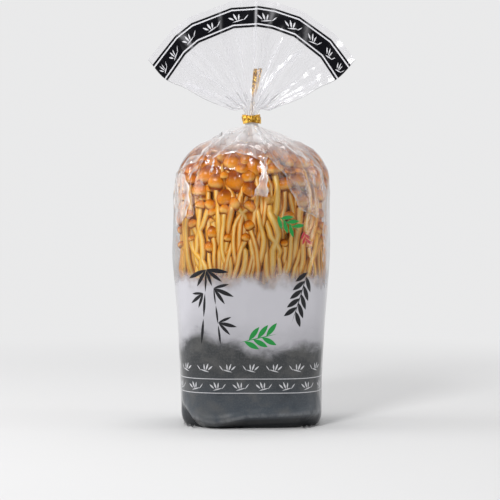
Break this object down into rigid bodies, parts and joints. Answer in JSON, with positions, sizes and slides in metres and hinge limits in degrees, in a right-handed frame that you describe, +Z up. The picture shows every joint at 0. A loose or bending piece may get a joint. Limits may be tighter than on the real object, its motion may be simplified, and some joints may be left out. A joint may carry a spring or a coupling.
{
  "type": "nameko mushroom bunch in a tied bag",
  "caption": "Bunch of slender golden mushrooms on one base, standing in a clear film bag gathered at the neck by a wire tie, its mouth spread as a ruffle.",
  "frame": {"origin": "middle of the bag's bottom, on the surface that it stands on", "axes": "+Z up along the bag, +X along the ruffle's width, the printed front faces -Y"},
  "size_m": [0.1384, 0.091, 0.2787],
  "materials": {
    "clear_film": "clear glossy film with a misty grey printed foot and a bordered mouth",
    "gold_foil": "gold foil over wire",
    "mushroom": "moist golden stems and amber caps"
  },
  "bodies": {
    "root": {"film_bag": "clear_film", "wire_tie": "gold_foil", "mushroom_bunch": "mushroom"}
  },
  "joints": []
}
